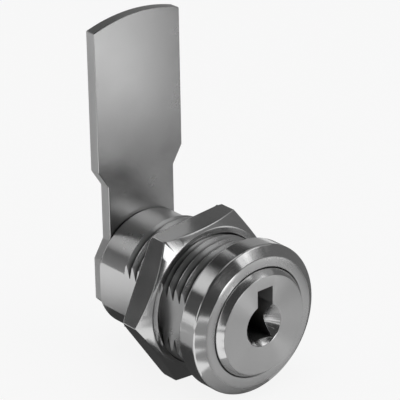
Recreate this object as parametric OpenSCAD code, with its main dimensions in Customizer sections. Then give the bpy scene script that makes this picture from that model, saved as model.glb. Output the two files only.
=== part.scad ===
// Cam lock for a cabinet door: a wafer cylinder in a threaded barrel, with a flat cam behind it.
// The origin is the centre of the head's rear face, which seats on the outside of the door.
// The lock's axis runs along Y: the key goes in at -Y, the cam is at +Y and points up at rest.
// Each piece is drawn as seen from the key's side, with x to the right, y up and z out to the
// key, and turned_to_key() then puts it in its place. The seat on the door is z = 0.

/* [Head] */
// Diameter of the head
head_d = 25; // [24:0.1:32]
// Height of the head's straight side
head_side_h = 3.3; // [2.6:0.1:6]
// Height of the bevel above the straight side
head_bevel_h = 1.3; // [0.6:0.1:2]
// How far the bevel comes in from the side
head_bevel_w = 1.75; // [0.4:0.05:2.4]
// Thickness of the head's floor, under the plug's flange
head_floor_h = 1.6; // [1.3:0.05:2.2]

/* [Barrel] */
// Outside diameter of the thread
thread_d = 21.8; // [21.4:0.1:23]
// Length of the thread behind the head
thread_l = 17; // [12:0.5:20]
// Distance from one groove of the thread to the next
thread_pitch = 1.5; // [1:0.25:2]
// Depth of the thread
thread_depth = 0.95; // [0.6:0.05:1]
// Diameter of the plain end behind the thread
plain_d = 20; // [19.4:0.1:20.6]
// Distance across the barrel's two flats
flats_w = 18.6; // [18:0.1:19.2]
// Chamfer at the barrel's rear edge
barrel_chamfer = 0.3; // [0.1:0.05:0.6]

/* [Plug] */
// Diameter of the plug's body
plug_d = 14; // [13.6:0.1:14.4]
// Radial running clearance between the plug and its bore
plug_fit = 0.05; // [0.02:0.01:0.1]
// Diameter of the plug's flange
flange_d = 18; // [17.2:0.1:18.4]
// Radial gap round the plug's flange
flange_gap = 0.13; // [0.08:0.01:0.3]
// How far the plug's face stands above the head's ring
face_rise = 1.15; // [0.5:0.05:2]
// How far the bevel round the plug's face comes in
face_bevel_w = 0.77; // [0.2:0.01:1.5]
// End play between the plug's flange and the head's floor
end_play = 0.05; // [0.02:0.01:0.1]

/* [Keyway] */
// Width of the key slot
keyway_w = 3.15; // [2:0.05:3.5]
// Wall left between the slot's upper end and the top of the plug's body
keyway_roof = 0.8; // [0.7:0.05:1.4]
// Depth of the slot's lower end below the axis
keyway_bottom = 2.8; // [2:0.1:4]
// How far the slot lies to the right of the axis
keyway_shift = 0.3; // [0:0.05:0.4]
// Diameter of the round dish in the plug's face
dish_d = 7.2; // [5:0.1:9]
// Angle between opposite sides of the dish
dish_angle = 75; // [60:1:120]

/* [Wafers] */
// Number of wafers in the plug
wafer_count = 7; // [3:1:7]
// Thickness of a wafer
wafer_t = 1; // [0.8:0.05:1.1]
// Distance from one wafer to the next
wafer_pitch = 2.3; // [2.2:0.05:2.4]
// Depth of the first wafer behind the seat
first_wafer = 1.7; // [1.5:0.1:2]
// Width of a wafer
wafer_w = 5.6; // [5.4:0.1:5.8]
// Clearance between a wafer's end and the bore at the shear line
shear_gap = 0.09; // [0.06:0.01:0.15]
// Clearance on each side of a wafer in its slot
slot_gap = 0.05; // [0.03:0.01:0.08]
// Travel of a wafer from the shear line into a channel
wafer_travel = 0.9; // [0.6:0.05:1]
// Clearance round a wafer in a channel
channel_gap = 0.2; // [0.15:0.01:0.25]
// How far below the slot's upper end the highest window ends
window_margin = 0.3; // [0.2:0.05:0.8]
// Step between one depth of cut and the next
cut_step = 0.3; // [0.1:0.05:0.35]
// How far a wafer's side lug reaches past its side
lug_reach = 1.7; // [1.6:0.05:1.8]
// Height of a wafer's side lug
lug_h = 1.8; // [1.2:0.1:2]

/* [Springs] */
// Outside diameter of a wafer spring
spring_d = 1.3; // [1:0.05:1.35]
// Diameter of the spring's wire
spring_wire = 0.25; // [0.15:0.01:0.3]
// Length of a spring as it stands under a wafer's lug
spring_l = 3; // [2.4:0.1:3.2]
// Number of turns in a spring
spring_turns = 4; // [3:1:5]
// Radial gap between a spring and its pocket
spring_gap = 0.12; // [0.05:0.01:0.15]

/* [Retainer] */
// Thickness of the retaining plate
retainer_t = 1.4; // [1:0.1:1.5]
// Distance from the last wafer to the retaining plate
retainer_pitch = 2.4; // [2.2:0.1:2.8]
// How far the retaining plate reaches past the plug into its groove
retainer_bite = 0.95; // [0.7:0.05:1]
// End play of the retaining plate in its groove
groove_play = 0.1; // [0.05:0.01:0.15]
// Length of the barrel behind the middle of the retaining plate
rear_journal_l = 5.2; // [4.6:0.1:16]

/* [Turning stop] */
// Angle from one end of the plug's turn to the other
turn_angle = 90; // [45:5:90]
// Width of the plug's stop lug, as an angle
stop_arc = 24; // [16:1:26]
// Angle left between the stop lug and each wall that it meets
stop_gap = 0.5; // [0.3:0.1:1]

/* [Cam] */
// Thickness of the cam's strip
cam_t = 2; // [1.5:0.1:3]
// Width of the cam's strip
cam_w = 17.4; // [15:0.1:18]
// Distance from the axis to the middle of the cam's tip
cam_reach = 43.8; // [30:0.5:80]
// Rise of the rounded tip from its corners to its middle
cam_crown = 1.35; // [0.3:0.05:4]
// Width of the cam's neck
neck_w = 13.6; // [11:0.1:14]
// Height above the axis where the neck begins
neck_start = 6.5; // [5.2:0.1:8]
// Height above the axis where the neck ends
neck_end = 15.9; // [12:0.1:18]
// Length of the slope between the neck and the full width
shoulder_h = 3; // [1:0.1:4]
// Depth below the axis of the chamfered corners
foot_corner = 3.7; // [2:0.1:5]
// Depth below the axis of the cam's lower edge
foot_depth = 8.2; // [6.6:0.1:9]
// Running gap between the barrel's end and the cam
cam_gap = 0.2; // [0.1:0.05:0.5]

/* [Cam fixing] */
// Side of the plug's square tail
tail_w = 7; // [6:0.1:7.4]
// Gap on each side of the tail in the cam's square hole
tail_gap = 0.08; // [0.03:0.01:0.2]
// How far the tail ends inside the cam's rear face
tail_short = 0.2; // [0.1:0.05:0.5]
// Shank diameter of the cam screw
screw_d = 5; // [4:0.1:5.2]
// Radial gap that stands for the screw's thread
screw_gap = 0.05; // [0.03:0.01:0.1]
// Length of the screw's shank in the tail
screw_grip = 4.4; // [3:0.1:4.6]
// Diameter of the screw's head
screw_head_d = 8; // [7.6:0.1:9.4]
// Height of the screw's head
screw_head_h = 3.2; // [2.6:0.1:4]
// Width of the cross recess in the screw's head
cross_w = 1.1; // [0.8:0.1:1.4]
// Length of the cross recess
cross_l = 4.6; // [3.6:0.1:5]
// Depth of the cross recess
cross_depth = 1.6; // [1:0.1:2]
// Outside diameter of the lock washer
washer_d = 9.2; // [8.6:0.1:12]
// Thickness of the lock washer
washer_t = 1.2; // [0.8:0.1:1.6]
// Width of the split in the lock washer
washer_split = 0.9; // [0.4:0.1:1.5]

/* [Nut] */
// Wall of the nut between its bore and the middle of a flat
nut_wall = 1.65; // [1.1:0.05:4]
// Thickness of the nut
nut_t = 4.6; // [3.5:0.1:6]
// Distance from the seat to the nut's front face
nut_y = 6.8; // [6.1:0.1:7.5]
// Turn of the nut from a corner at the right
nut_turn = 4; // [0:1:60]
// Radial clearance between the nut and the outside of the thread
nut_fit = 0.05; // [0.03:0.01:0.1]
// How far the round edge of the front chamfer lies inside the flats
nut_face_inset = 0.6; // [0.1:0.05:0.8]
// Angle of the nut's chamfers to its faces
nut_chamfer_angle = 29; // [20:1:35]
// How far the rear chamfer comes in from the nut's corners
nut_rear_chamfer = 0.5; // [0.2:0.05:1]

/* [Hidden] */
eps = 0.01;
overrun = 1;
overlap = 0.5;
ring_z = head_side_h + head_bevel_h;
face_z = ring_z + face_rise;
bore_r = plug_d / 2 + plug_fit;
recess_r = flange_d / 2 + flange_gap;
keyway_top = plug_d / 2 - keyway_roof;

// The wafers stand at the shear line, as they do with the right key in the lock.
wafer_r = bore_r - shear_gap;
channel_r = wafer_r + wafer_travel + channel_gap + 0.1;
channel_w = wafer_w + 2 * channel_gap;
slot_t = wafer_t + 2 * slot_gap;
function wafer_z(i) = -(first_wafer + i * wafer_pitch);
last_wafer_z = wafer_z(wafer_count - 1);
channel_end_z = last_wafer_z - slot_t / 2 - channel_gap;
window_w = keyway_w + 2 * slot_gap;
window_base = -keyway_bottom - channel_gap;
// Depth of cut of each wafer, counted in steps.
CUTS = [1, 3, 0, 2, 3, 1, 2];
window_h = keyway_top - window_margin - max(CUTS) * cut_step - window_base;

// A spring stands in a pocket beside each wafer and bears under its side lug.
lug_x = wafer_w / 2 + lug_reach;
spring_x = wafer_w / 2 + spring_d / 2 + spring_gap + slot_gap + 0.15;
pocket_r = spring_d / 2 + spring_gap;
pocket_floor = -lug_h / 2 - spring_l;
spring_play = 0.02;

// The retaining plate stands out of the plug into a round groove in the bore.
retainer_z = last_wafer_z - retainer_pitch;
retainer_tip = plug_d / 2 + retainer_bite;
retainer_foot = -plug_d / 2 + 2.4;
retainer_slot_t = retainer_t + 2 * slot_gap;
groove_t = retainer_t + 2 * groove_play;
groove_r = retainer_tip + channel_gap;
barrel_l = rear_journal_l - retainer_z;
plug_end_z = -(barrel_l + cam_gap);

// The thread is drawn as grooves round the barrel, and stops short of its plain end. It starts
// with a crest, so that the head's seat begins outside it.
thread_r = thread_d / 2;
thread_root_r = thread_r - thread_depth;
thread_land = thread_pitch / 8;
thread_end = min(thread_l, barrel_l - 2);
thread_grooves = ceil(thread_end / thread_pitch) - 1;

// The plug's stop lug turns in a curved trough in the head's floor.
stop_start = -45;
trough_depth = head_floor_h - 0.3;
lug_drop = 0.15;
trough_r = channel_r - 0.2;

cam_front_z = plug_end_z;
cam_rear_z = cam_front_z - cam_t;
cam_tip_r = (pow(cam_w / 2, 2) + pow(cam_crown, 2)) / (2 * cam_crown);
tail_end_z = cam_rear_z + tail_short;
washer_rear_z = cam_rear_z - washer_t;
shank_end_z = tail_end_z + screw_grip;
hole_end_z = shank_end_z + 0.5;
head_dome = 0.35;
nut_bore_r = thread_r + nut_fit;
nut_half = nut_bore_r + nut_wall;
nut_corner_r = nut_half / cos(30);
nut_face_r = nut_half - nut_face_inset;
round_fn = 96;

WAFERS = [for (i = [0 : wafer_count - 1]) str("wafer_", i + 1)];
SPRINGS = [for (i = [0 : wafer_count - 1]) str("wafer_spring_", i + 1)];

module turned_to_key() {
    rotate([90, 0, 0]) children();
}

// A round bar from one depth to another.
module bar(r, z0, z1) {
    translate([0, 0, min(z0, z1)]) cylinder(r = r, h = abs(z1 - z0), $fn = round_fn);
}

// A block centred on the axis from one depth to another.
module slab(w, h, z0, z1) {
    translate([-w / 2, -h / 2, min(z0, z1)]) cube([w, h, abs(z1 - z0)]);
}

// A flat piece of a given thickness, centred on a depth.
module plate(t, z) {
    translate([0, 0, z]) linear_extrude(height = t, center = true) children();
}

// Part of a disc between two angles that are less than 180 degrees apart.
module sector(r, a0, a1) {
    mid = (a0 + a1) / 2;
    intersection() {
        circle(r = r, $fn = round_fn);
        polygon([[0, 0], 2 * r * [cos(a0), sin(a0)], 3 * r * [cos(mid), sin(mid)],
            2 * r * [cos(a1), sin(a1)]]);
    }
}

// The side lug of a wafer or of the retaining plate, with the body that it grows from.
module side_lug() {
    translate([0, -lug_h / 2]) square([lug_x, lug_h]);
}

// The slot that a flat piece slides in, with the pocket for its spring, cut from the plug.
module plate_slot(t, z, floor_y) {
    lug_w = lug_x + slot_gap;
    w = wafer_w + 2 * slot_gap;
    top = plug_d / 2 + overrun;
    plate(t, z) {
        translate([-w / 2, floor_y]) square([w, top - floor_y]);
        translate([0, pocket_floor]) square([lug_w, top - pocket_floor]);
    }
    translate([spring_x, pocket_floor, z]) rotate([-90, 0, 0])
        cylinder(r = pocket_r, h = top - pocket_floor, $fn = round_fn);
}

module head_form() {
    rotate_extrude($fn = round_fn) polygon([[0, 0], [head_d / 2, 0], [head_d / 2, head_side_h],
        [head_d / 2 - head_bevel_w, ring_z], [0, ring_z]]);
}

// One groove of the thread behind a depth: a crest, a slope, the groove's floor, and a slope.
function groove_outline(z) = [[thread_r, z - thread_land],
    [thread_root_r, z - thread_pitch / 2], [thread_root_r, z - thread_pitch / 2 - thread_land],
    [thread_r, z - thread_pitch]];

module barrel_form() {
    root_z = head_floor_h / 2;
    plain_r = plain_d / 2;
    intersection() {
        rotate_extrude($fn = round_fn) polygon(concat([[0, root_z], [thread_r, root_z]],
            [for (k = [0 : thread_grooves - 1]) each groove_outline(-k * thread_pitch)],
            [[thread_r, -thread_end], [plain_r, -thread_end],
            [plain_r, -barrel_l + barrel_chamfer], [plain_r - barrel_chamfer, -barrel_l],
            [0, -barrel_l]]));
        slab(flats_w, 2 * thread_d, overrun, -barrel_l - overrun);
    }
}

// The trough runs from the lug's first place to its last, seen from the key.
module stop_trough() {
    half = stop_arc / 2 + stop_gap;
    translate([0, 0, head_floor_h - trough_depth]) linear_extrude(height = trough_depth + overlap)
        sector(trough_r, stop_start - turn_angle - half, stop_start + half);
}

// Channels stand at every quarter turn, so that the key comes out in either place of the cam.
module wafer_channels() {
    translate([0, 0, channel_end_z]) linear_extrude(height = head_floor_h - channel_end_z + overlap)
        intersection() {
            circle(r = channel_r, $fn = round_fn);
            union() {
                square([channel_w, head_d], center = true);
                square([head_d, channel_w], center = true);
            }
        }
}

module housing() {
    color("silver") turned_to_key() difference() {
        union() {
            head_form();
            barrel_form();
        }
        bar(recess_r, head_floor_h, ring_z + overrun);
        bar(bore_r, -barrel_l - overrun, head_floor_h + overlap);
        bar(groove_r, retainer_z - groove_t / 2, retainer_z + groove_t / 2);
        wafer_channels();
        stop_trough();
    }
}

module plug_form() {
    flange_z = head_floor_h + end_play;
    bar(plug_d / 2, plug_end_z, flange_z + eps);
    bar(flange_d / 2, flange_z, ring_z);
    translate([0, 0, ring_z]) cylinder(r1 = flange_d / 2, r2 = flange_d / 2 - face_bevel_w,
        h = face_rise, $fn = round_fn);
    slab(tail_w, tail_w, plug_end_z + eps, tail_end_z);
    translate([0, 0, head_floor_h - trough_depth + lug_drop])
        linear_extrude(height = trough_depth - lug_drop + end_play + eps) difference() {
            sector(trough_r - lug_drop, stop_start - stop_arc / 2, stop_start + stop_arc / 2);
            circle(r = plug_d / 2 - 1, $fn = round_fn);
        }
}

module keyway() {
    depth = face_z - (last_wafer_z - slot_t / 2 - slot_gap);
    translate([keyway_shift - keyway_w / 2, -keyway_bottom, face_z - depth])
        cube([keyway_w, keyway_top + keyway_bottom, depth + overrun]);
    dish_depth = dish_d / 2 / tan(dish_angle / 2);
    translate([0, 0, face_z - dish_depth])
        cylinder(r1 = 0, r2 = dish_d / 2, h = dish_depth, $fn = round_fn);
}

module plug() {
    color("gainsboro") turned_to_key() difference() {
        plug_form();
        keyway();
        for (i = [0 : wafer_count - 1]) plate_slot(slot_t, wafer_z(i), -plug_d / 2 - overrun);
        plate_slot(retainer_slot_t, retainer_z, retainer_foot - retainer_bite - 0.2);
        bar(screw_d / 2 + screw_gap, tail_end_z - overrun, hole_end_z);
    }
}

module wafer(i) {
    window_y = window_base + cut_step * CUTS[i];
    color("goldenrod") turned_to_key() plate(wafer_t, wafer_z(i)) difference() {
        union() {
            intersection() {
                circle(r = wafer_r, $fn = round_fn);
                square([wafer_w, 2 * plug_d], center = true);
            }
            side_lug();
        }
        translate([keyway_shift - window_w / 2, window_y]) square([window_w, window_h]);
    }
}

module retainer() {
    color("darkgoldenrod") turned_to_key() plate(retainer_t, retainer_z) {
        intersection() {
            circle(r = retainer_tip, $fn = round_fn);
            translate([-wafer_w / 2, retainer_foot])
                square([wafer_w, retainer_tip - retainer_foot + overrun]);
        }
        side_lug();
    }
}

// One round of wire-section corners for each step along the coil.
function coil_points(r, wire_r, rise, turns, steps, sides) = [
    for (s = [0 : turns * steps]) let (a = 360 * s / steps, h = rise * s / (turns * steps))
        for (k = [0 : sides - 1]) let (b = 360 * k / sides, q = r + wire_r * cos(b))
            [q * cos(a), q * sin(a), h + wire_r * sin(b)]];

function coil_faces(rings, sides) = concat(
    [[for (k = [0 : sides - 1]) k]],
    [for (s = [0 : rings - 2]) for (k = [0 : sides - 1]) let (n = (k + 1) % sides)
        [s * sides + k, (s + 1) * sides + k, (s + 1) * sides + n, s * sides + n]],
    [[for (k = [sides - 1 : -1 : 0]) (rings - 1) * sides + k]]);

module coil_spring(z) {
    steps = 10;
    sides = 6;
    wire_r = spring_wire / 2;
    rise = spring_l - 2 * wire_r - 2 * spring_play;
    color("lightsteelblue") turned_to_key()
        translate([spring_x, pocket_floor + spring_play + wire_r, z]) rotate([-90, 0, 0])
            polyhedron(points = coil_points(spring_d / 2 - wire_r, wire_r, rise, spring_turns,
                steps, sides), faces = coil_faces(spring_turns * steps + 1, sides));
}

// The tip's circle rounds the blade alone: below the neck's end a square keeps all of the strip.
module cam_outline() {
    half = cam_w / 2;
    neck = neck_w / 2;
    foot_half = half - (foot_depth - foot_corner);
    side = [[foot_half, -foot_depth], [half, -foot_corner], [half, neck_start - shoulder_h],
        [neck, neck_start], [neck, neck_end], [half, neck_end + shoulder_h], [half, cam_reach]];
    intersection() {
        polygon(concat(side, [for (k = [len(side) - 1 : -1 : 0]) [-side[k][0], side[k][1]]]));
        union() {
            translate([0, cam_reach - cam_tip_r]) circle(r = cam_tip_r + eps / 10, $fn = round_fn);
            translate([-cam_w, -foot_depth - overrun])
                square([2 * cam_w, neck_end + foot_depth + overrun]);
        }
    }
}

module cam() {
    hole_w = tail_w + 2 * tail_gap;
    color("slategray") turned_to_key() translate([0, 0, cam_rear_z])
        linear_extrude(height = cam_t) difference() {
            cam_outline();
            square([hole_w, hole_w], center = true);
        }
}

module lock_washer() {
    color("gray") turned_to_key() difference() {
        bar(washer_d / 2, cam_rear_z, washer_rear_z);
        bar(screw_d / 2 + 2 * screw_gap, cam_rear_z + overrun, washer_rear_z - overrun);
        translate([0, -washer_split / 2, washer_rear_z - overrun])
            cube([washer_d, washer_split, washer_t + 2 * overrun]);
    }
}

module cam_screw() {
    head_end_z = washer_rear_z - screw_head_h;
    color("dimgray") turned_to_key() difference() {
        union() {
            bar(screw_d / 2, washer_rear_z - eps, shank_end_z);
            bar(screw_head_d / 2, washer_rear_z, head_end_z + head_dome);
            translate([0, 0, head_end_z]) cylinder(r1 = screw_head_d / 2 - head_dome,
                r2 = screw_head_d / 2, h = head_dome, $fn = round_fn);
        }
        for (a = [0, 90]) rotate(a)
            slab(cross_l, cross_w, head_end_z - overrun, head_end_z + cross_depth);
    }
}

module hex_nut() {
    slope = tan(nut_chamfer_angle);
    front_w = nut_corner_r - nut_face_r;
    edge_r = nut_corner_r + overrun;
    color("darkgray") turned_to_key() translate([0, 0, -nut_y - nut_t]) difference() {
        intersection() {
            rotate(nut_turn) cylinder(r = nut_corner_r, h = nut_t, $fn = 6);
            rotate_extrude($fn = round_fn) polygon([[0, 0], [nut_corner_r - nut_rear_chamfer, 0],
                [edge_r, (nut_rear_chamfer + overrun) * slope],
                [edge_r, nut_t - (front_w + overrun) * slope], [nut_face_r, nut_t], [0, nut_t]]);
        }
        bar(nut_bore_r, -overrun, nut_t + overrun);
    }
}

housing();
plug();
hex_nut();
cam();
lock_washer();
cam_screw();
retainer();
coil_spring(retainer_z);  // retainer_spring
for (i = [0 : wafer_count - 1]) {
    wafer(i);
    coil_spring(wafer_z(i));
}
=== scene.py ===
# %% [markdown]
# # A cam lock for a cabinet door
#
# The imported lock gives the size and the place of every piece. This script dresses it: it models
# the pieces that show with their rounded edges, their screw threads and their recesses, gives
# each metal its own finish, and lights the lock as on a catalogue page. The lock's axis runs
# along Y, the key goes in from -Y, and the cam stands up at the back.

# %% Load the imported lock
from math import ceil, cos, floor, pi, radians, sin, sqrt, tan

import bpy
from mathutils import Matrix, Vector


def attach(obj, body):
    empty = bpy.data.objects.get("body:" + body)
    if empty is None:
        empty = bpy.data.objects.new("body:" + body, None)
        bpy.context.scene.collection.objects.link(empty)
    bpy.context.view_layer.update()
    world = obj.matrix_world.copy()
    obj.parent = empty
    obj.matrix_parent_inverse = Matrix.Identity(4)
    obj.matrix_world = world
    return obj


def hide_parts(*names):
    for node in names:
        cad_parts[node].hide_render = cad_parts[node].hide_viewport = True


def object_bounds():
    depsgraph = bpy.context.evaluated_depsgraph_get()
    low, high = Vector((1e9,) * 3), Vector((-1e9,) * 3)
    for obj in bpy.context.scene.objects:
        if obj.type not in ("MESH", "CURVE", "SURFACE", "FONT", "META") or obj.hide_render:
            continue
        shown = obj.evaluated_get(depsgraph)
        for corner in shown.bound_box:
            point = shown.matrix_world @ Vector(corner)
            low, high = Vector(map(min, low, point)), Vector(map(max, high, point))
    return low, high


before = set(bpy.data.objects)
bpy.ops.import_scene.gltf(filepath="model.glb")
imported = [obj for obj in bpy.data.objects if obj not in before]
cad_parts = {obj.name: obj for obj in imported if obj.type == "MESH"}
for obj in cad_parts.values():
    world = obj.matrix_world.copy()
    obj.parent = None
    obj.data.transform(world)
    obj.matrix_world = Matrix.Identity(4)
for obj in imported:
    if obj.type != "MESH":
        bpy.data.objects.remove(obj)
cad_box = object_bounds()
mm = 0.001
same_point = 0.002 * mm
print("nodes:", ", ".join(sorted(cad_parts)))

# %% [markdown]
# ## Working by hand, in code
#
# A modeller in the window selects, then acts. The same is done here: everything is deselected,
# one piece is made active, and its edit mode is opened or closed. Short helpers do it, and one
# more cleans a mesh: it merges points that lie in the same place and turns the faces outwards.

# %% Helpers for picking a piece and its edit mode
def pick(piece):
    """Makes one piece the only selected and the active one."""
    bpy.ops.object.select_all(action="DESELECT")
    piece.select_set(True)
    bpy.context.view_layer.objects.active = piece
    return piece


def edit(piece):
    """Opens edit mode on a piece with all of it selected."""
    pick(piece)
    bpy.ops.object.mode_set(mode="EDIT")
    bpy.ops.mesh.select_all(action="SELECT")


def close_edit():
    """Closes edit mode and returns the piece."""
    bpy.ops.object.mode_set(mode="OBJECT")
    return bpy.context.object


def heal():
    """Merges doubled points and turns all faces outwards, in edit mode."""
    bpy.ops.mesh.select_all(action="SELECT")
    bpy.ops.mesh.remove_doubles(threshold=same_point)
    bpy.ops.mesh.normals_make_consistent(inside=False)


# %% [markdown]
# ## Outlines
#
# Most of a lock is turned on a lathe or stamped from strip, so most pieces start as an outline.
# A plane is merged to one point, the point is extruded along the outline, and the outline is
# then spun round the axis or filled and given a thickness. Outlines are in millimetres.

# %% Helpers for an outline, a turned piece and a stamped piece
def trace(name, points, closed):
    """A line of edges through points, made by extruding one point. Leaves edit mode open."""
    bpy.ops.object.select_all(action="DESELECT")
    bpy.ops.mesh.primitive_plane_add(size=mm)
    piece = bpy.context.object
    piece.name = name
    edit(piece)
    bpy.ops.mesh.merge(type="CENTER")
    bpy.ops.transform.translate(value=Vector(points[0]) * mm)
    stops = list(points) + ([points[0]] if closed else [])
    for here, there in zip(stops, stops[1:]):
        step = (Vector(there) - Vector(here)) * mm
        bpy.ops.mesh.extrude_region_move(TRANSFORM_OT_translate={"value": step})
    bpy.ops.mesh.select_all(action="SELECT")
    bpy.ops.mesh.remove_doubles(threshold=same_point / 10)
    return piece


def turned(name, outline, steps=160):
    """A solid turned round Y from (depth, radius) points that start and end on the axis."""
    trace(name, [(0, y, r) for y, r in outline], closed=False)
    bpy.ops.mesh.spin(steps=steps, angle=2 * pi, center=(0, 0, 0), axis=(0, 1, 0))
    heal()
    return close_edit()


def stamped(name, outline, y0, y1):
    """A flat piece with an outline of (x, z) points, from depth y0 to depth y1."""
    trace(name, [(x, y0, z) for x, z in outline], closed=True)
    bpy.ops.mesh.edge_face_add()
    bpy.ops.mesh.extrude_region_move(TRANSFORM_OT_translate={"value": (0, (y1 - y0) * mm, 0)})
    heal()
    return close_edit()


# %% [markdown]
# ## Shop tools
#
# A real lock is drilled, milled and deburred. Here a block, a bar or a turned piece is the
# cutter, the Boolean modifier is the cut, and a narrow Bevel modifier breaks the sharp edges.
# Those broken edges are what catches the light along every edge of plated metal.
#
# Exact cuts can leave slivers thinner than a thousandth of a millimetre, and the next cut goes
# wrong on them, so combine can merge them. A cut by a plane takes points that are nearer to it
# than its threshold as lying on it. Blender's own value is 0.1 mm, which would tear holes in a
# piece as small as this, so a far finer one is given.

# %% Helpers for cutting, joining and rounding
sliver = 0.001 * mm
on_plane = 0.0001 * mm


def apply_all(piece):
    """Applies every modifier of a piece in order."""
    pick(piece)
    for modifier in list(piece.modifiers):
        bpy.ops.object.modifier_apply(modifier=modifier.name)
    return piece


def combine(piece, tool, operation, merge=False):
    """Cuts, joins or keeps the common part with a tool, then throws the tool away. With merge,
    slivers that the cut leaves are merged."""
    boolean = piece.modifiers.new(operation.title(), "BOOLEAN")
    boolean.operation = operation
    boolean.solver = "EXACT"
    boolean.object = tool
    apply_all(piece)
    bpy.data.objects.remove(tool)
    if merge:
        edit(piece)
        bpy.ops.mesh.remove_doubles(threshold=sliver)
        close_edit()
    return piece


def break_edges(piece, width, sharper_than=30, segments=3):
    """Rounds every edge that turns by more than an angle."""
    bevel = piece.modifiers.new("Broken edges", "BEVEL")
    bevel.width = width * mm
    bevel.segments = segments
    bevel.limit_method = "ANGLE"
    bevel.angle_limit = radians(sharper_than)
    bevel.use_clamp_overlap = False
    return apply_all(piece)


def slice_off(piece, point, outwards):
    """Cuts a piece flat and closes the cut: what lies beyond point along outwards goes."""
    edit(piece)
    bpy.ops.mesh.bisect(plane_co=Vector(point) * mm, plane_no=outwards, use_fill=True,
                        clear_outer=True, threshold=on_plane)
    heal()
    return close_edit()


# %% Helpers for blocks, bars and wedges
def block(name, low, high):
    """A block from one corner to the opposite one."""
    size = [(b - a) * mm for a, b in zip(low, high)]
    middle = [(a + b) / 2 * mm for a, b in zip(low, high)]
    bpy.ops.object.select_all(action="DESELECT")
    bpy.ops.mesh.primitive_cube_add(size=1)
    piece = bpy.context.object
    piece.name = name
    edit(piece)
    bpy.ops.transform.resize(value=size)
    bpy.ops.transform.translate(value=middle)
    return close_edit()


def bar(name, radius, y0, y1, x=0, z=0, sides=96):
    """A round bar along Y."""
    bpy.ops.object.select_all(action="DESELECT")
    bpy.ops.mesh.primitive_cylinder_add(vertices=sides, radius=radius * mm, depth=(y1 - y0) * mm)
    piece = bpy.context.object
    piece.name = name
    edit(piece)
    bpy.ops.transform.rotate(value=pi / 2, orient_axis="X", center_override=(0, 0, 0))
    bpy.ops.transform.translate(value=(x * mm, (y0 + y1) / 2 * mm, z * mm))
    return close_edit()


def wedge(name, radius, y0, y1, first, last):
    """A slice of a bar between two angles, measured from +X towards +Z."""
    piece = bar(name, radius, y0, y1, sides=180)
    for angle in (radians(last + 90), radians(first - 90)):
        slice_off(piece, (0, 0, 0), (cos(angle), 0, sin(angle)))
    return piece


def gather(name, pieces):
    """Joins tools that don't touch each other into one."""
    bpy.ops.object.select_all(action="DESELECT")
    for piece in pieces:
        piece.select_set(True)
    bpy.context.view_layer.objects.active = pieces[0]
    bpy.ops.object.join()
    pieces[0].name = name
    return pieces[0]


# %% [markdown]
# ## The screw thread
#
# The barrel and the nut carry a fine thread of 1.5 mm pitch. One tooth is drawn as four edges,
# and the Screw modifier winds it round the axis while it moves back by one pitch each turn, as
# a thread-cutting tool does. The winding is longer than needed, and its ends are cut flat. It
# always starts at a whole number of pitches, so that the nut's thread falls into the barrel's,
# and at a part of a step more, so that no point of it lies on the plane of a cut.

# %% Helper that winds a thread
thread_pitch = 1.5
crest_r = 10.85
root_r = 9.9
thread_fit = 0.1
spare_turns = 2
part_of_step = 0.3


def threaded_bar(name, crest, root, y0, y1, pitch=thread_pitch, steps=96):
    """A bar along Y with a helical thread, flat at both ends."""
    land = pitch / 8
    rise = pitch / 2 - land
    start = (floor(y0 / pitch) - spare_turns + part_of_step / steps) * pitch
    tooth = [(0, crest), (land, crest), (land + rise, root), (2 * land + rise, root),
             (pitch, crest)]
    trace(name, [(0, start + depth, r) for depth, r in tooth], closed=False)
    piece = close_edit()
    screw = piece.modifiers.new("Thread", "SCREW")
    screw.axis = "Y"
    screw.angle = 2 * pi
    screw.screw_offset = pitch * mm
    screw.iterations = ceil((y1 - y0) / pitch) + 2 * spare_turns
    screw.steps = steps
    screw.render_steps = steps
    screw.use_smooth_shade = False
    apply_all(piece)
    edit(piece)
    bpy.ops.mesh.remove_doubles(threshold=same_point)
    for depth, side in ((y0, -1), (y1, 1)):
        bpy.ops.mesh.select_all(action="SELECT")
        bpy.ops.mesh.bisect(plane_co=(0, depth * mm, 0), plane_no=(0, side, 0), use_fill=True,
                            clear_outer=True, threshold=on_plane)
    heal()
    return close_edit()


# %% [markdown]
# ## The housing: barrel
#
# The barrel is cast in one with the head. Its thread runs out into a plain end just before the
# cam, and two flats are milled along its whole length, which keep the lock from turning in the
# door. So the threaded bar is joined to a plain bar, and two blocks mill both flat together.

# %% Model the barrel
flat_x = 9.3
thread_end = 17.11
barrel_end = 23.1
plain_r = 10
over_crest = 11.2
barrel = threaded_bar("barrel", crest_r, root_r, -0.8, thread_end)
run_out = turned("run_out", [(-1.5, 0), (-1.5, over_crest), (16.05, over_crest), (17.4, 9.7),
                             (17.4, 0)])
combine(barrel, run_out, "INTERSECT", merge=True)
plain_end = turned("plain_end", [(16.4, 0), (16.4, 9.6), (16.8, plain_r), (22.75, plain_r),
                                 (23.0, 9.85), (barrel_end, 9.7), (barrel_end, 0)])
combine(barrel, plain_end, "UNION", merge=True)
for low, high in ((-14, -flat_x), (flat_x, 14)):
    combine(barrel, block("flat_cutter", (low, -2, -13), (high, 25, 13)), "DIFFERENCE",
            merge=True)
print("barrel faces:", len(barrel.data.polygons))

# %% [markdown]
# ## The housing: head
#
# The head is a round cap with a bevelled rim and a recess for the plug's flange. It is turned
# from one outline. Its rim edges are broken by a Bevel modifier before the barrel is joined on,
# so that the bevel doesn't reach the thread.

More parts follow.
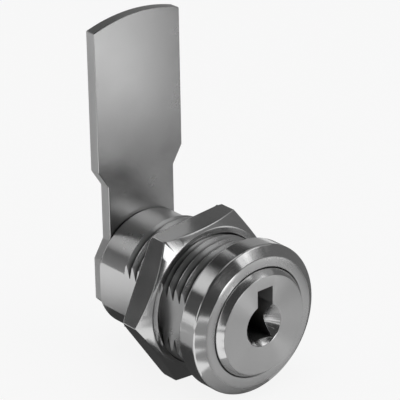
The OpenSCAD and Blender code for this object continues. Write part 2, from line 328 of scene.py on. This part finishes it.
# %% Model the head and join the barrel to it
round_steps = 240
seat_r = 12.5
ring_y, ring_r = -4.6, 10.75
recess_y, recess_r = -1.6, 9.13
bevel_y = -3.3
housing = turned("housing_dressed", [(recess_y, 0), (recess_y, recess_r), (ring_y, recess_r),
                                     (ring_y, ring_r), (bevel_y, seat_r), (0, seat_r), (0, 0)],
                 steps=round_steps)
break_edges(housing, 0.28, sharper_than=25, segments=4)
combine(housing, barrel, "UNION", merge=True)
print("housing faces before the bore:", len(housing.data.polygons))

# %% [markdown]
# ## The housing: bore
#
# Inside, the housing has the plug's bore, four channels that the wafers drop into, a round
# groove for the retaining plate, and a curved trough that stops the plug after a quarter turn.
# None of it shows in the picture, but the wafers and the stop lug move in these spaces, so
# they are cut for real.

# %% Cut the bore, the channels, the groove and the stop trough
bore_r = 7.05
channel_r, channel_half = 8.16, 3
groove_r = 8.15
trough_r = 7.96
above_recess = -2.4
combine(housing, bar("bore", bore_r, -3, 25, sides=160), "DIFFERENCE", merge=True)
for upright in (True, False):
    channel = bar("channel", channel_r, above_recess, 16.25, sides=120)
    for side in (-channel_half, channel_half):
        point = (side, 0, 0) if upright else (0, 0, side)
        slice_off(channel, point, point)
    combine(housing, channel, "DIFFERENCE", merge=True)
combine(housing, bar("groove", groove_r, 17.1, 18.7), "DIFFERENCE", merge=True)
combine(housing, wedge("trough", trough_r, above_recess, -0.3, -147.5, -32.5), "DIFFERENCE",
        merge=True)
print("housing faces:", len(housing.data.polygons))

# %% [markdown]
# ## The plug: turned form
#
# The plug is the round core that the key turns. Its flange sits in the head's recess, and its
# face stands a little proud with a bevel of its own. A shallow cone in the face leads the key
# into the slot. All of that is one turned outline, and a square tail for the cam is joined on.

# %% Turn the plug
face_y, face_r = -5.75, 8.23
dish_r = 3.6
dish_slope = tan(radians(37.5))
flange_y, flange_r = -1.65, 9
plug_r, plug_end = 7, 23.3
plug = turned("plug_dressed", [(face_y + dish_r / dish_slope, 0), (face_y, dish_r),
                               (face_y, face_r), (ring_y, flange_r), (flange_y, flange_r),
                               (flange_y, plug_r), (plug_end, plug_r), (plug_end, 0)],
              steps=round_steps)
break_edges(plug, 0.12, sharper_than=25)
tail_half, tail_front, tail_back = 3.5, 22.5, 25.1
tail = block("tail", (-tail_half, tail_front, -tail_half), (tail_half, tail_back, tail_half))
break_edges(tail, 0.2)
combine(plug, tail, "UNION")
combine(plug, wedge("stop_lug", 7.81, -1.75, -0.45, -57, -33), "UNION")
print("plug faces before the slots:", len(plug.data.polygons))

# %% [markdown]
# ## The plug: key slot
#
# The slot is milled straight in from the face. It meets the dish in two curved edges, which
# shine as thin lines round the keyhole. Only those edges are bevelled, picked by their place:
# they lie on a side of the slot and near the face. An unclamped bevel can throw a few points
# out of the face at a corner, so what stands proud of the face is pressed back into it.

# %% Mill the key slot
slot_left, slot_right = -1.275, 1.875
slot_low, slot_high = -2.8, 6.2
slot_end = 16.1
combine(plug, block("key_slot", (slot_left, -8, slot_low), (slot_right, slot_end, slot_high)),
        "DIFFERENCE")
print("plug faces with the key slot:", len(plug.data.polygons))


# %% Helpers that pick edges and points by their place
def pick_edges(piece, wanted):
    """Opens edit mode with only the edges selected whose two ends are wanted places."""
    edit(piece)
    bpy.ops.mesh.select_all(action="DESELECT")
    bpy.ops.mesh.select_mode(type="EDGE")
    bpy.ops.object.mode_set(mode="OBJECT")
    points = piece.data.vertices
    for edge in piece.data.edges:
        edge.select = all(wanted(points[i].co / mm) for i in edge.vertices)
    bpy.ops.object.mode_set(mode="EDIT")


def pick_points(piece, wanted):
    """Opens edit mode with only the points at wanted places selected, and counts them."""
    edit(piece)
    bpy.ops.mesh.select_all(action="DESELECT")
    bpy.ops.mesh.select_mode(type="VERT")
    bpy.ops.object.mode_set(mode="OBJECT")
    for point in piece.data.vertices:
        point.select = wanted(point.co / mm)
    picked = sum(point.select for point in piece.data.vertices)
    bpy.ops.object.mode_set(mode="EDIT")
    return picked


rim_reach = 0.14


def near(a, b):
    """True where two lengths in millimetres are the same but for rounding."""
    return abs(a - b) < 0.004


def on_slot_rim(p):
    """True on the line where the slot meets the dish or the face."""
    radius = sqrt(p.x ** 2 + p.z ** 2)
    surface = face_y + max(0, (dish_r - radius) / dish_slope)
    on_side = near(p.x, slot_left) or near(p.x, slot_right)
    on_end = near(p.z, slot_low) or near(p.z, slot_high)
    return (on_side or on_end) and abs(p.y - surface) < rim_reach


# %% Break the key slot's rim
rim_bevel = 0.09
pick_edges(plug, on_slot_rim)
bpy.ops.mesh.bevel(offset=rim_bevel * mm, segments=2, affect="EDGES", clamp_overlap=False)
close_edit()
proud = pick_points(plug, lambda p: p.y < face_y - 0.001)
bpy.ops.transform.resize(value=(1, 0, 1), center_override=(0, face_y * mm, 0))
close_edit()
print("points pressed back into the plug's face:", proud)

# %% [markdown]
# ## The plug: wafer slots
#
# Seven slots cross the plug, each with a pocket beside it for the wafer's spring, and an
# eighth holds the retaining plate. One cutter of each kind is made per slot, the cutters of a
# kind are joined, and three cuts do the whole row.

# %% Cut the slots for the wafers and the retaining plate
first_wafer, wafer_pitch, wafer_count = 1.7, 2.3, 7
wafer_places = [first_wafer + wafer_pitch * i for i in range(wafer_count)]
retainer_y = wafer_places[-1] + 2.4
slot_half, lug_end = 2.85, 4.55
pocket_r, pocket_x, pocket_floor, pocket_length = 0.77, 3.77, -3.9, 12
# Each row is a slot's place, half its width and its lower end.
rows = [(y, 0.55, -8) for y in wafer_places] + [(retainer_y, 0.75, -5.75)]


def lug_slot(y, half):
    """A cutter for the space that a wafer's side lug moves in."""
    return block("lug_slot", (2, y - half, pocket_floor), (lug_end, y + half, 8.2))


def pocket(y):
    """An upright round cutter for the spring pocket beside a slot."""
    bpy.ops.object.select_all(action="DESELECT")
    bpy.ops.mesh.primitive_cylinder_add(vertices=32, radius=pocket_r * mm,
                                        depth=pocket_length * mm)
    piece = bpy.context.object
    edit(piece)
    bpy.ops.transform.translate(value=(pocket_x * mm, y * mm,
                                       (pocket_length / 2 + pocket_floor) * mm))
    return close_edit()


combine(plug, gather("slots", [block("slot", (-slot_half, y - half, low), (slot_half, y + half, 8))
                               for y, half, low in rows]), "DIFFERENCE")
combine(plug, gather("lug_slots", [lug_slot(y, half) for y, half, low in rows]), "DIFFERENCE")
combine(plug, gather("pockets", [pocket(y) for y, half, low in rows]), "DIFFERENCE")
combine(plug, bar("screw_hole", 2.55, 20.2, 26), "DIFFERENCE")
print("plug faces:", len(plug.data.polygons))

# %% [markdown]
# ## The hex nut
#
# The nut clamps the lock to the door. It is a hexagon whose front corners are turned off at
# 29 degrees, which gives the curved edges that hex nuts show: the hexagon keeps only what it
# has in common with a turned piece with coned ends. The bore is cut by a threaded bar that is a
# little larger than the barrel, and both mouths are countersunk.

# %% Model the nut
nut_front, nut_back = 6.8, 11.4
nut_half = 12.6
nut_corner_r = nut_half / cos(radians(30))
nut_face_r = 12.0
nut_slope = tan(radians(29))
nut_turn = 4
rear_run, rear_cut = 1.5, 0.5
nut_corners = [radians(nut_turn + 60 * k) for k in range(6)]
nut = stamped("hex_nut_dressed", [(nut_corner_r * cos(a), nut_corner_r * sin(a))
                                  for a in nut_corners], nut_front, nut_back)
beyond_r = nut_corner_r + 1
front_slope_y = nut_front + (beyond_r - nut_face_r) * nut_slope
rear_slope_y = nut_back - rear_run * nut_slope
nut_turning = turned("nut_turning", [(nut_front, 0), (nut_front, nut_face_r),
                                     (front_slope_y, beyond_r), (rear_slope_y, beyond_r),
                                     (nut_back, nut_corner_r - rear_cut), (nut_back, 0)],
                     steps=round_steps)
combine(nut, nut_turning, "INTERSECT")
break_edges(nut, 0.16, sharper_than=22)
combine(nut, threaded_bar("tap", crest_r + thread_fit, root_r + thread_fit, 5.61, 12.4),
        "DIFFERENCE")
mouth_r = 11.05
mouth_depth = 1.3
for mouth, inwards in ((nut_front, 1), (nut_back, -1)):
    outer = mouth - inwards
    inner = mouth + mouth_depth * inwards
    sink = turned("sink", [(outer, 0), (outer, mouth_r + 1), (inner, mouth_r - mouth_depth),
                           (inner, 0)])
    combine(nut, sink, "DIFFERENCE")
print("nut faces:", len(nut.data.polygons))

# %% [markdown]
# ## The cam
#
# The cam is the flat strip that swings behind the door's frame. It is blanked from sheet: a
# waisted neck, chamfered foot corners and a tip that is part of a circle. Its outline is
# traced on one side and mirrored in code, then thickened, and its edges are broken as a
# tumbled blank's are.

# %% Stamp the cam
cam_front, cam_back = 23.3, 25.3
cam_half, neck_half = 8.7, 6.8
cam_reach, tip_crown = 43.8, 1.35
tip_r = (cam_half ** 2 + tip_crown ** 2) / (2 * tip_crown)
tip_centre = cam_reach - tip_r
# Up the right side, from the foot's chamfer past the waist to the blade.
cam_side = [(cam_half - 4.5, -8.2), (cam_half, -3.7), (cam_half, 3.5), (neck_half, 6.5),
            (neck_half, 15.9), (cam_half, 18.9)]
tip_steps = 24
tip = []
for k in range(tip_steps + 1):
    x = cam_half * (1 - 2 * k / tip_steps)
    tip.append((x, tip_centre + sqrt(tip_r ** 2 - x ** 2)))
cam_outline = cam_side + tip + [(-x, z) for x, z in reversed(cam_side)]
cam = stamped("cam_dressed", cam_outline, cam_front, cam_back)
hole_half = 3.58
combine(cam, block("square_hole", (-hole_half, 22, -hole_half), (hole_half, 27, hole_half)),
        "DIFFERENCE")
break_edges(cam, 0.2, sharper_than=20)
print("cam faces:", len(cam.data.polygons))

# %% [markdown]
# ## The lock washer and the cam screw
#
# The washer is a bent length of flat wire: a rectangle is spun almost all the way round, and
# the two ends of the split are closed. The screw has a pan head with a cross recess whose arms
# narrow as they go down, and a real thread on its shank.

# %% Wind the lock washer
split = radians(7.2)
# (radius, depth) of the flat wire's four corners
washer_section = [(2.65, 25.31), (4.55, 25.31), (4.55, 26.49), (2.65, 26.49)]
trace("lock_washer_dressed", [(r * cos(split), y, r * sin(split)) for r, y in washer_section],
      closed=True)
bpy.ops.mesh.spin(steps=90, angle=-(2 * pi - 2 * split), center=(0, 0, 0), axis=(0, 1, 0))
bpy.ops.mesh.select_all(action="SELECT")
bpy.ops.mesh.remove_doubles(threshold=same_point)
bpy.ops.mesh.fill_holes(sides=4)
heal()
washer = break_edges(close_edit(), 0.1)
print("washer faces:", len(washer.data.polygons))

# %% Turn the cam screw and cut its cross recess
shank = threaded_bar("shank", 2.48, 2.05, 20.73, 26.93, pitch=0.8, steps=48)
point = turned("point", [(20.5, 0), (20.5, 1.6), (21.4, 2.6), (27.5, 2.6), (27.5, 0)], steps=64)
combine(shank, point, "INTERSECT")
head_top, head_r = 29.7, 4.0
dome = [(28.75 + 0.8 * sin(radians(a)), head_r - 0.9 * (1 - cos(radians(a))))
        for a in range(0, 91, 15)]
screw = turned("cam_screw_dressed", [(26.5, 0), (26.5, 3.85), (26.65, head_r)] + dome
               + [(29.65, 1.6), (head_top, 0)], steps=96)
combine(screw, shank, "UNION")
cross_floor, cross_top = 28.1, 30.7
arm_reach, arm_half = 2.3, 0.55
floor_share = 0.55
for half_x, half_z in ((arm_reach, arm_half), (arm_half, arm_reach)):
    recess = block("recess", (-half_x, cross_floor, -half_z), (half_x, cross_top, half_z))
    pick_points(recess, lambda p: near(p.y, cross_floor))
    bpy.ops.transform.resize(value=(floor_share, 1, floor_share),
                             center_override=(0, cross_floor * mm, 0))
    close_edit()
    combine(screw, recess, "DIFFERENCE")
print("screw faces:", len(screw.data.polygons))

# %% [markdown]
# ## Putting the pieces in the lock
#
# Each modelled piece takes the place of its imported node and rides on the same body.
# Smoothing by angle keeps turned surfaces round and edges crisp, and weighted normals keep the
# flat faces flat right up to their rounded edges.

# %% Ride, replace and smooth
dressed = [
    (housing, "housing", "lock_body", "barrel_metal"),
    (plug, "plug", "cylinder", "plug_metal"),
    (nut, "hex_nut", "clamp_nut", "nut_metal"),
    (cam, "cam", "cylinder", "cam_steel"),
    (washer, "lock_washer", "cylinder", "washer_steel"),
    (screw, "cam_screw", "cylinder", "screw_steel"),
]
smooth_below = 26
for piece, node, body, slot in dressed:
    edit(piece)
    bpy.ops.mesh.select_all(action="DESELECT")
    bpy.ops.mesh.select_non_manifold()
    close_edit()
    loose = sum(vertex.select for vertex in piece.data.vertices)
    bpy.ops.object.shade_smooth_by_angle(angle=radians(smooth_below))
    weigh = piece.modifiers.new("Flat faces stay flat", "WEIGHTED_NORMAL")
    weigh.keep_sharp = True
    apply_all(piece)
    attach(piece, body)
    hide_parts(node)
    print(piece.name, "stands for", node, "with", len(piece.data.polygons), "faces and", loose,
          "points on open edges")

# %% [markdown]
# ## Metal finishes
#
# All visible pieces are plated or bare metal, so one builder makes them: a metallic surface
# whose grey varies a little in soft clouds, whose roughness varies with the same clouds, and
# whose bump comes from fine marks. On turned pieces the marks are rings round the axis, made
# from the distance to the axis and the depth, and on sheet and on the nut they are a fine grain.
# The head and the plug also draw reflections out across their rings, as brushed metal does.

# %% Helpers for nodes
def add(tree, kind, inputs=None, **settings):
    """Adds a node, sets its settings, and sets or links its inputs."""
    node = tree.nodes.new(kind)
    for name, value in settings.items():
        setattr(node, name, value)
    for name, value in (inputs or {}).items():
        socket = node.inputs[name]
        if isinstance(value, bpy.types.NodeSocket):
            tree.links.new(value, socket)
        else:
            socket.default_value = value
    return node


def measure(tree, what):
    """A node value in metres of where a point lies: its x, its depth, its z or its radius."""
    place = add(tree, "ShaderNodeTexCoord").outputs["Object"]
    if what == "radius":
        across = add(tree, "ShaderNodeVectorMath", {0: place, 1: (1, 0, 1)},
                     operation="MULTIPLY").outputs["Vector"]
        return add(tree, "ShaderNodeVectorMath", {0: across},
                   operation="LENGTH").outputs["Value"]
    axis = {"x": "X", "depth": "Y", "z": "Z"}[what]
    return add(tree, "ShaderNodeSeparateXYZ", {"Vector": place}).outputs[axis]


# %% Helper that makes a metal finish
ring_size, brush_size, grain_size = 0.09, 0.12, 0.16
mark_height = 0.02


def metal(name, colour, colour_spread, roughness, marks, mark_depth, cloud_size, stretch=0):
    """A metal finish: marks is "rings" round the axis, "grain", or "brushed" along Z. A stretch
    above 0 draws the reflections out across the rings."""
    material = bpy.data.materials.new(name)
    material.use_nodes = True
    tree = material.node_tree
    tree.nodes.clear()
    place = add(tree, "ShaderNodeTexCoord").outputs["Object"]
    cloud = add(tree, "ShaderNodeTexNoise", {"Vector": place, "Scale": 1 / (cloud_size * mm),
                                             "Detail": 4.0, "Roughness": 0.55})
    if marks == "rings":
        ring = add(tree, "ShaderNodeCombineXYZ", {"X": measure(tree, "radius"),
                                                  "Y": measure(tree, "depth")})
        mark_place, mark_size = ring.outputs["Vector"], ring_size
    elif marks == "brushed":
        long = add(tree, "ShaderNodeMapping", {"Vector": place, "Scale": (1, 1, 0.06)})
        mark_place, mark_size = long.outputs["Vector"], brush_size
    else:
        mark_place, mark_size = place, grain_size
    fine = add(tree, "ShaderNodeTexNoise", {"Vector": mark_place, "Scale": 1 / (mark_size * mm),
                                            "Detail": 2.0, "Roughness": 0.6})
    bump = add(tree, "ShaderNodeBump", {"Height": fine.outputs["Fac"], "Strength": mark_depth,
                                        "Distance": mark_height * mm})
    low = tuple(c * (1 - colour_spread) for c in colour)
    high = tuple(min(1, c * (1 + colour_spread)) for c in colour)
    shade = add(tree, "ShaderNodeMix", {"Factor": cloud.outputs["Fac"]}, data_type="RGBA")
    shade.inputs[6].default_value = (*low, 1)
    shade.inputs[7].default_value = (*high, 1)
    rough = add(tree, "ShaderNodeMapRange", {"Value": cloud.outputs["Fac"],
                                             "From Min": 0.25, "From Max": 0.75,
                                             "To Min": roughness[0], "To Max": roughness[1]})
    surface = add(tree, "ShaderNodeBsdfPrincipled", {
        "Base Color": shade.outputs[2], "Metallic": 1.0, "Roughness": rough.outputs["Result"],
        "Normal": bump.outputs["Normal"]})
    if stretch:
        round_axis = add(tree, "ShaderNodeTangent", direction_type="RADIAL", axis="Y")
        tree.links.new(round_axis.outputs["Tangent"], surface.inputs["Tangent"])
        surface.inputs["Anisotropic"].default_value = stretch
        surface.inputs["Anisotropic Rotation"].default_value = 0.25
    add(tree, "ShaderNodeOutputMaterial", {"Surface": surface.outputs["BSDF"]})
    return material


# %% Helpers that change a finish in one place
def change_where(tree, mask, colour_scale, roughness_scale):
    """Scales a finish's colour and roughness where a mask is 1."""
    surface = next(node for node in tree.nodes if node.type == "BSDF_PRINCIPLED")
    for socket, scale in (("Base Color", colour_scale), ("Roughness", roughness_scale)):
        before = surface.inputs[socket].links[0].from_socket
        factor = add(tree, "ShaderNodeMapRange", {"Value": mask, "To Min": 1.0, "To Max": scale})
        scaled = add(tree, "ShaderNodeVectorMath", {0: before, "Scale": factor.outputs["Result"]},
                     operation="SCALE")
        tree.links.new(scaled.outputs["Vector"], surface.inputs[socket])


def within(tree, what, low, high):
    """1 where a measure of a point's place lies between two millimetre values, else 0."""
    middle, half = (low + high) / 2 * mm, (high - low) / 2 * mm
    return add(tree, "ShaderNodeMath", {0: measure(tree, what), 1: middle, 2: half},
               operation="COMPARE").outputs[0]


def product(tree, *factors):
    """Node values multiplied together."""
    result = factors[0]
    for factor in factors[1:]:
        result = add(tree, "ShaderNodeMath", {0: result, 1: factor},
                     operation="MULTIPLY").outputs[0]
    return result


# %% Make the finishes
# Each has a colour and its spread, the least and the greatest roughness, the kind of marks and
# their depth, and the size of the clouds in millimetres.
barrel_finish = metal("barrel nickel plate", (0.60, 0.60, 0.60), 0.05, (0.25, 0.32), "rings",
                      0.15, 6, stretch=0.9)
plug_finish = metal("plug nickel plate", (0.62, 0.62, 0.62), 0.05, (0.30, 0.38), "rings", 0.3,
                    5, stretch=0.9)
nut_finish = metal("nut nickel plate", (0.58, 0.58, 0.58), 0.05, (0.14, 0.22), "grain", 0.04, 7)
cam_finish = metal("cam zinc plate", (0.56, 0.56, 0.56), 0.09, (0.20, 0.30), "grain", 0.2, 9)
washer_finish = metal("washer spring steel", (0.42, 0.42, 0.43), 0.08, (0.25, 0.38), "rings",
                      0.4, 3)
screw_finish = metal("screw zinc plate", (0.55, 0.56, 0.58), 0.06, (0.2, 0.32), "rings", 0.3, 3)
brass_finish = metal("wafer brass", (0.72, 0.52, 0.22), 0.07, (0.25, 0.38), "brushed", 0.5, 2)
wire_finish = metal("spring wire", (0.50, 0.50, 0.52), 0.05, (0.2, 0.3), "grain", 0.3, 1)
finishes = (barrel_finish, plug_finish, nut_finish, cam_finish, washer_finish, screw_finish)
print("finishes:", ", ".join(finish.name for finish in finishes))

# %% [markdown]
# ## Painted shade, sheared edges and buffed bevels
#
# The thread's grooves, the nut's countersunk mouth and thread, and the inside of the key slot
# are painted darker and made rougher: this is painted shade, where little light reaches. The
# cam's edge is rough where the strip was sheared. The dish, on the other hand, is cut by a
# polished tool, and the bevels of the head and the plug are buffed, so these shine more. Each
# place is found from the point's own place on the piece, so that it stays put when the lock
# moves.

# %% Paint shade into the thread's grooves, and buff the head's bevel and side
# The two numbers at the end of each change scale the colour and the roughness.
hair = 0.02
tree = barrel_finish.node_tree
groove_shade_ramp = add(tree, "ShaderNodeMapRange", {
    "Value": measure(tree, "radius"), "From Min": (root_r + 0.15) * mm,
    "From Max": (root_r + 0.55) * mm, "To Min": 1.0, "To Max": 0.0}).outputs["Result"]
groove_shade_mask = product(tree, groove_shade_ramp, within(tree, "depth", hair, 17.05),
                  within(tree, "x", -flat_x + hair, flat_x - hair))
# Painted shade: in the thread's grooves the colour is scaled to a quarter and the roughness by
# 1.5.
change_where(tree, groove_shade_mask, 0.25, 1.5)
head_rim = product(tree, within(tree, "radius", crest_r, 13), within(tree, "depth", -5, -hair))
change_where(tree, head_rim, 1.0, 0.5)
print("nodes in the barrel's finish:", len(tree.nodes))

# %% Polish the plug's dish and bevel, and paint shade into the key slot
tree = plug_finish.node_tree
change_where(tree, within(tree, "radius", 0, dish_r + 0.05), 1.0, 0.5)
change_where(tree, within(tree, "radius", face_r + hair, 10), 1.0, 0.5)
# Painted shade: inside the key slot, behind the face, the colour is scaled to 0.3 and the
# roughness doubled.
slot_shade_mask = product(tree, within(tree, "x", slot_left - hair, slot_right + hair),
                  within(tree, "z", slot_low - hair, slot_high + hair),
                  within(tree, "depth", face_y + 0.12, slot_end + 0.1))
change_where(tree, slot_shade_mask, 0.3, 2.0)
print("nodes in the plug's finish:", len(tree.nodes))

# %% Paint shade into the nut's mouth and thread, and dull the cam's edge
tree = nut_finish.node_tree
# Painted shade: in the nut's thread and the inner part of its countersunk mouth the colour is
# scaled to 0.3.
change_where(tree, within(tree, "radius", 0, mouth_r - 0.35), 0.3, 1.5)
tree = cam_finish.node_tree
change_where(tree, within(tree, "depth", cam_front + 0.12, cam_back - 0.12), 1.0, 2.4)
print("nodes in the cam's finish:", len(tree.nodes))


# %% Dress every piece
def dress(piece, material):
    """Gives a piece one finish."""
    piece.data.materials.clear()
    piece.data.materials.append(material)


for piece, material in zip((housing, plug, nut, cam, washer, screw), finishes):
    dress(piece, material)
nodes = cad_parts
wires = [node for node in nodes if "spring" in node]
stampings = [node for node in nodes if "spring" not in node
             and ("wafer" in node or node == "retainer")]
for node in wires:
    dress(nodes[node], wire_finish)
for node in stampings:
    dress(nodes[node], brass_finish)
print("carried-over nodes:", len(wires), "of wire and", len(stampings), "of brass")

# %% [markdown]
# ## Floor and background
#
# A catalogue picture stands on white. The floor lies under the lock's lowest point. To the
# camera it glows almost white and keeps a faint shadow, and from about 140 mm away the metal
# sees the same white. Nearer to the lock the metal sees the bare paper with its real shadow
# where no card lies on it. Right under the lock a black card that only reflections see is a
# painted shadow, which darkens the lock's underside. The world is white behind it for the
# same rays.

# %% Lay the floor
near_floor, open_floor = 110, 140
floor_size = 3
glow_share = 0.88
lowest = cad_box[0].z
bpy.ops.object.select_all(action="DESELECT")
bpy.ops.mesh.primitive_plane_add(size=floor_size, location=(0, 0, lowest))
floor_sheet = bpy.context.object
floor_sheet.name = "floor_sheet"
paper = bpy.data.materials.new("white paper floor")
paper.use_nodes = True
tree = paper.node_tree
tree.nodes.clear()


def highest(tree, first, second):
    """The larger of two node values."""
    return add(tree, "ShaderNodeMath", {0: first, 1: second}, operation="MAXIMUM").outputs[0]


path = add(tree, "ShaderNodeLightPath")
place = add(tree, "ShaderNodeTexCoord").outputs["Object"]
from_lock = add(tree, "ShaderNodeVectorMath", {0: place}, operation="LENGTH")
far_out = add(tree, "ShaderNodeMapRange", {"Value": from_lock.outputs["Value"],
                                           "From Min": near_floor * mm,
                                           "From Max": open_floor * mm})
in_metal = highest(tree, path.outputs["Is Glossy Ray"], path.outputs["Is Transmission Ray"])
in_metal = add(tree, "ShaderNodeMath", {0: in_metal, 1: far_out.outputs["Result"]},
               operation="MULTIPLY").outputs[0]
sheet = add(tree, "ShaderNodeBsdfDiffuse", {"Color": (0.8, 0.8, 0.8, 1)})
glow = add(tree, "ShaderNodeEmission", {"Color": (1, 1, 1, 1), "Strength": 1.0})
seen = add(tree, "ShaderNodeMixShader", {"Fac": glow_share, 1: sheet.outputs["BSDF"],
                                         2: glow.outputs["Emission"]})
glowing = highest(tree, path.outputs["Is Camera Ray"], in_metal)
both = add(tree, "ShaderNodeMixShader", {"Fac": glowing, 1: sheet.outputs["BSDF"],
                                         2: seen.outputs["Shader"]})
add(tree, "ShaderNodeOutputMaterial", {"Surface": both.outputs["Shader"]})
dress(floor_sheet, paper)
print("the floor lies at", round(lowest / mm, 2), "mm")

# %% Make the world white
fill_strength = 0.2
world = bpy.data.worlds.new("white studio")
bpy.context.scene.world = world
world.use_nodes = True
tree = world.node_tree
tree.nodes.clear()
path = add(tree, "ShaderNodeLightPath")
white = add(tree, "ShaderNodeBackground", {"Color": (1, 1, 1, 1), "Strength": 1.0})
fill = add(tree, "ShaderNodeBackground", {"Color": (1, 1, 1, 1), "Strength": fill_strength})
in_metal = highest(tree, path.outputs["Is Glossy Ray"], path.outputs["Is Transmission Ray"])
shown = highest(tree, path.outputs["Is Camera Ray"], in_metal)
both = add(tree, "ShaderNodeMixShader", {"Fac": shown, 1: fill.outputs["Background"],
                                         2: white.outputs["Background"]})
add(tree, "ShaderNodeOutputWorld", {"Surface": both.outputs["Shader"]})
print("world:", world.name)

# %% [markdown]
# ## Cards and lamps
#
# Polished metal has hardly any colour of its own: it shows the studio. In an all white room it
# looks like chalk, so a photographer hangs black and grey cards where the metal should go dark,
# and softboxes where it should shine. The large cards hang farther out than the lamps. Small
# ones lie on the paper round the lock or stand close to it, for the bevels, the nut's lower
# facets and the thread, which face down and see the floor. All cards are seen only by
# reflections, so they neither show in the picture nor take light away.

# %% Helpers that hang a card and a softbox
aim = Vector((0, 8, 8)) * mm


def towards(azimuth, elevation):
    """A direction, with azimuth in degrees from the key's side towards the lock's right."""
    a, e = radians(azimuth), radians(elevation)
    return Vector((sin(a) * cos(e), -cos(a) * cos(e), sin(e)))


def hang(holder, azimuth, elevation, distance):
    """Puts a lamp or a card out along a direction, facing the lock."""
    direction = towards(azimuth, elevation)
    holder.location = aim + direction * distance
    holder.rotation_euler = direction.to_track_quat("Z", "Y").to_euler()


def card(name, width, height, brightness):
    """A sheet that only reflections see. Brightness 1 is as white paper."""
    bpy.ops.object.select_all(action="DESELECT")
    bpy.ops.mesh.primitive_plane_add(size=1)
    sheet = bpy.context.object
    sheet.name = name
    edit(sheet)
    bpy.ops.transform.resize(value=(width, height, 1))
    close_edit()
    sheet.visible_camera = False
    sheet.visible_diffuse = False
    sheet.visible_shadow = False
    matt = bpy.data.materials.new(name)
    matt.use_nodes = True
    matt.node_tree.nodes.clear()
    shine = add(matt.node_tree, "ShaderNodeEmission", {"Strength": brightness})
    add(matt.node_tree, "ShaderNodeOutputMaterial", {"Surface": shine.outputs["Emission"]})
    dress(sheet, matt)
    return sheet


def softbox(name, azimuth, elevation, distance, width, height, brightness):
    """An area lamp that faces the lock. Brightness 1 is as white paper."""
    lamp = bpy.data.lights.new(name, "AREA")
    lamp.shape = "RECTANGLE"
    lamp.size = width
    lamp.size_y = height
    lamp.energy = brightness * pi * width * height
    holder = bpy.data.objects.new(name, lamp)
    bpy.context.scene.collection.objects.link(holder)
    hang(holder, azimuth, elevation, distance)
    return holder


# %% Hang the cards round the lock
# Each row is a name, a width, a height and a brightness, then azimuth, elevation and distance.
hung_cards = [("black card in front", 2.4, 2.4, 0.06, -30, 38, 1.2),
              ("black card behind", 2.6, 1.7, 0.06, 175, 48, 1.2),
              ("grey card behind", 0.9, 0.9, 0.36, 134, 8, 1.2),
              ("black card at the left", 1.3, 0.75, 0.08, -122, 20, 1.2),
              ("grey card at the right", 2.0, 2.2, 0.15, 88, 28, 1.2),
              ("grey card beside the front", 0.66, 0.66, 0.25, 33, 19, 1.2),
              ("low grey card", 0.07, 0.05, 0.18, 82, 5, 0.06)]
for name, width, height, brightness, azimuth, elevation, distance in hung_cards:
    hang(card(name, width, height, brightness), azimuth, elevation, distance)
low_white = card("low white card", 0.036, 0.022, 1.5)
low_white.location = Vector((28, -115, -3)) * mm
low_white.rotation_euler = (pi / 2, 0, radians(13))
print("cards that hang or stand:", len(hung_cards) + 1)

# %% Lay cards on the floor
# Each row is a name, the least and the greatest (x, y) in millimetres, and a brightness.
floor_cards = [("white card at the left", (-75, -20), (-21, -2), 1.1),
               ("small white card at the left", (-21, -12), (-13, -2), 1.1),
               ("grey card at the front left", (-32, -200), (-6, -20), 0.34),
               ("grey card at the far left", (-120, -200), (-32, -40), 0.34),
               ("white card at the far left", (-80, -40), (-32, -20), 1.1),
               ("small grey card at the front left", (-21, -20), (-6, -12), 0.34),
               ("grey card under the face", (-6, -52), (30, -12), 0.54),
               ("grey card at the right foot", (4, -8), (19, 0), 0.4),
               ("dark card before the neck", (36, -44), (62, -18), 0.18),
               ("pale card before the cam", (46, -64), (76, -44), 0.78),
               ("white card before the tip", (58, -92), (80, -66), 1.7),
               ("grey card behind the cam", (-115, 95), (-64, 150), 0.1),
               ("dark card at the back right", (24, -6), (90, 100), 0.15),
               ("white card beside the barrel", (-42, 32), (-25, 52), 1.2),
               # Painted shadow: this black card, seen only by reflections, stands for the lock's
               # shadow on the paper under it.
               ("painted shadow card under the lock", (-25, 0), (24, 31), 0.06)]
card_lift = 0.3
for name, low, high, brightness in floor_cards:
    lying = card(name, (high[0] - low[0]) * mm, (high[1] - low[1]) * mm, brightness)
    lying.location = ((low[0] + high[0]) / 2 * mm, (low[1] + high[1]) / 2 * mm,
                      lowest + card_lift * mm)
print("cards on the floor:", len(floor_cards))

# %% Hang the softboxes
# Azimuth, elevation and distance, then width, height and brightness.
softbox("key softbox", 40, 42, 0.7, 0.42, 0.20, 1.3)
softbox("back softbox", -152, 36, 0.7, 0.40, 0.22, 0.85)
softbox("right fill", 80, 45, 0.8, 0.6, 0.6, 0.22)
softbox("front light", 5, 12, 0.9, 0.30, 0.24, 2.7)
softbox("left strip", -96, 15, 0.7, 0.07, 0.30, 1.2)
overhead = softbox("overhead light", 0, 88, 0.6, 0.5, 0.5, 1.6)
overhead.visible_glossy = False
print("lamps:", len(bpy.data.lights))

# %% [markdown]
# ## Camera
#
# The camera stands to the left of the key and a little above, with a long lens, as product
# pictures are taken so that edges stay nearly parallel. Its place is given by an azimuth, an
# elevation and a small roll.

# %% Place the camera
bpy.context.scene.view_settings.view_transform = "Standard"
camera_data = bpy.data.cameras.new("picture camera")
camera_data.sensor_width = 36
camera_data.lens = 225.25
camera_data.clip_start = 0.02
camera_data.clip_end = 20
camera = bpy.data.objects.new("picture camera", camera_data)
bpy.context.scene.collection.objects.link(camera)
from_key_side, above, lean = -40.807, 24.67, -0.975
turn = Matrix.Rotation(radians(from_key_side), 4, "Z")
tilt = Matrix.Rotation(radians(90 - above), 4, "X")
roll = Matrix.Rotation(radians(lean), 4, "Z")
stand = Matrix.Translation(Vector((-6.177, 17.664, 392.225)) * mm)
camera.matrix_world = turn @ tilt @ roll @ stand
bpy.context.scene.camera = camera
print("camera at", [round(value / mm, 1) for value in camera.matrix_world.translation], "mm")

# %% Print the CAD box and finish
print("CAD box:", cad_box)
